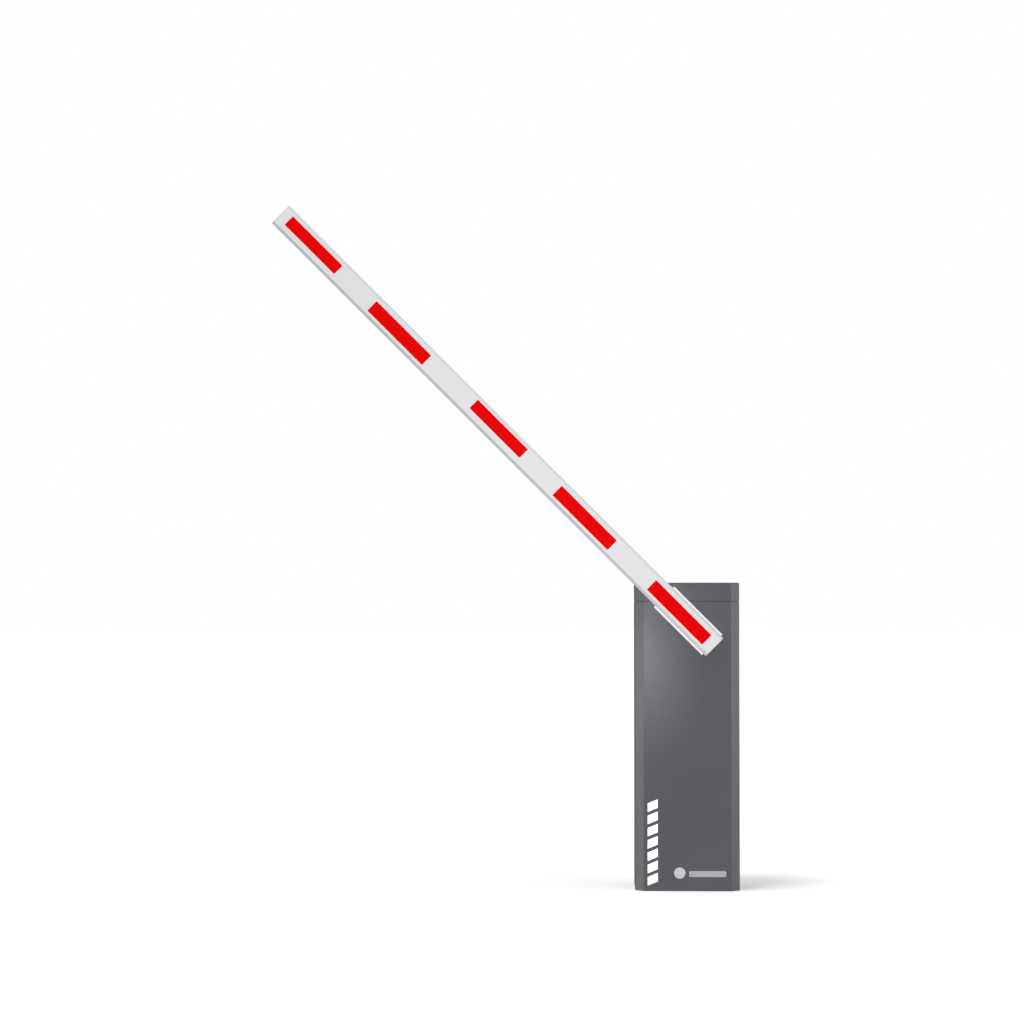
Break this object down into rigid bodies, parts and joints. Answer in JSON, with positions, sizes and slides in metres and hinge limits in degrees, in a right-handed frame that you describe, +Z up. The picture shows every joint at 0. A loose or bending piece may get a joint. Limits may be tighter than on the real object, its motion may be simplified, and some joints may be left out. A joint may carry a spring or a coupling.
{
  "type": "parking barrier gate",
  "caption": "Floor-standing drive cabinet with a chamfered boom that swings up and down, its crank drive, balance spring, service door and lift-off cover.",
  "frame": {"origin": "centre of the four anchor holes on the underside of the base plate", "axes": "+Z up, -Y towards the front where the boom swings, -X towards the boom's tip"},
  "size_m": [1.5662, 0.3884, 2.2942],
  "materials": {
    "cabinet_paint": "textured powder coat, anthracite",
    "zinc_steel": "zinc plated",
    "rubber_seal": "matte black",
    "stainless": "brushed stainless",
    "boom_white": "white powder coat",
    "cap_white": "moulded white",
    "reflective_red": "prismatic reflective film",
    "machined_steel": "turned and oiled",
    "fastener_zinc": "zinc plated",
    "escutcheon_black": "moulded black",
    "cast_housing": "painted grey-blue",
    "bronze": "sintered bronze",
    "gearhead_alloy": "die cast",
    "spring_steel": "oil-hardened, dark",
    "sensor_body": "nickel-plated brass",
    "board_green": "solder mask",
    "terminal_grey": "moulded",
    "button_caps": "moulded"
  },
  "bodies": {
    "cabinet": {"base_plate": "zinc_steel", "cabinet_shell": "cabinet_paint", "door_frame": "cabinet_paint", "door_seal": "rubber_seal", "cover_gasket": "rubber_seal", "cabinet_hinges": "stainless", "shaft_escutcheon": "escutcheon_black", "shaft_seal": "rubber_seal", "machine_frame": "zinc_steel", "frame_rails": "zinc_steel", "frame_fasteners": "fastener_zinc", "bearing_housings": "cast_housing", "crank_bushes": "bronze", "gearhead": "gearhead_alloy", "motor": "escutcheon_black", "stop_pads": "rubber_seal", "stop_brackets": "zinc_steel", "spring_anchor": "zinc_steel", "end_sensors": "sensor_body", "sensor_bracket": "zinc_steel", "panel_uprights": "zinc_steel", "mounting_panel": "zinc_steel", "standoffs": "fastener_zinc", "din_rail": "zinc_steel", "power_supply": "zinc_steel", "terminal_blocks": "terminal_grey", "control_board": "board_green", "circuit_breaker": "escutcheon_black"},
    "boom_arm": {"boom": "boom_white", "boom_cap_tip": "cap_white", "boom_cap_tail": "cap_white", "front_reflectors": "reflective_red", "back_reflectors": "reflective_red", "boom_bracket": "boom_white", "bracket_fasteners": "fastener_zinc", "hub_flange": "machined_steel", "nut_strip": "machined_steel", "bearing_inner_rings": "machined_steel", "main_shaft": "machined_steel", "rocker": "machined_steel", "rocker_pin": "machined_steel", "balance_spring": "spring_steel", "spring_collar": "machined_steel", "position_flag": "machined_steel"},
    "crank_assembly": {"crank": "machined_steel", "crank_pin": "machined_steel", "crankshaft": "machined_steel", "crank_gear": "machined_steel"},
    "link_rod": {"rod_ends": "machined_steel", "connecting_rod": "machined_steel"},
    "pinion_shaft": {"pinion": "machined_steel"},
    "cover": {"top_cover": "cabinet_paint"},
    "door": {"service_door": "cabinet_paint", "door_hinges": "stainless", "lock_barrel": "stainless"},
    "lock": {"lock_cam": "stainless"},
    "up_button": {"button_up": "button_caps"},
    "stop_button": {"button_stop": "button_caps"},
    "down_button": {"button_down": "button_caps"},
    "toggle": {"breaker_toggle": "button_caps"}
  },
  "joints": [
    {"name": "boom_lift", "type": "hinge", "parent": "cabinet", "child": "boom_arm", "pos_m": [0, -0.2, 0.903], "axis": [0, 1, 0], "range_deg": [-45, 45], "deforming": ["balance_spring"]},
    {"name": "crank_turn", "type": "hinge", "parent": "cabinet", "child": "crank_assembly", "pos_m": [0, 0, 0.703], "axis": [0, 1, 0], "range_deg": [-45, 45]},
    {"name": "rod_swing", "type": "hinge", "parent": "crank_assembly", "child": "link_rod", "pos_m": [0.055, -0.06, 0.703], "axis": [0, 1, 0], "range_deg": [-45, 45]},
    {"name": "pinion_turn", "type": "hinge", "parent": "cabinet", "child": "pinion_shaft", "pos_m": [0, 0, 0.60925], "axis": [0, 1, 0], "range_deg": [-180, 180]},
    {"name": "cover_lift", "type": "slide", "parent": "cabinet", "child": "cover", "axis": [0, 0, 1], "range_m": [0, 0.12]},
    {"name": "door_swing", "type": "hinge", "parent": "cabinet", "child": "door", "pos_m": [-0.13, 0.157, 0.5], "axis": [0, 0, 1], "range_deg": [0, 110]},
    {"name": "lock_turn", "type": "hinge", "parent": "door", "child": "lock", "pos_m": [0.105, 0.13, 0.5], "axis": [0, 1, 0], "range_deg": [0, 90]},
    {"name": "button_up_press", "type": "slide", "parent": "cabinet", "child": "up_button", "axis": [0, -1, 0], "range_m": [0, 0.0012], "stiffness_N_per_m": 400},
    {"name": "button_stop_press", "type": "slide", "parent": "cabinet", "child": "stop_button", "axis": [0, -1, 0], "range_m": [0, 0.0012], "stiffness_N_per_m": 400},
    {"name": "button_down_press", "type": "slide", "parent": "cabinet", "child": "down_button", "axis": [0, -1, 0], "range_m": [0, 0.0012], "stiffness_N_per_m": 400},
    {"name": "breaker_switch", "type": "hinge", "parent": "cabinet", "child": "toggle", "pos_m": [0.077, 0.0875, 0.315], "axis": [1, 0, 0], "range_deg": [-60, 0]}
  ],
  "couplings": [
    {"joint": "crank_turn", "follows": "boom_lift", "ratio": 1},
    {"joint": "rod_swing", "follows": "boom_lift", "ratio": -1},
    {"joint": "pinion_turn", "follows": "boom_lift", "ratio": -4}
  ]
}
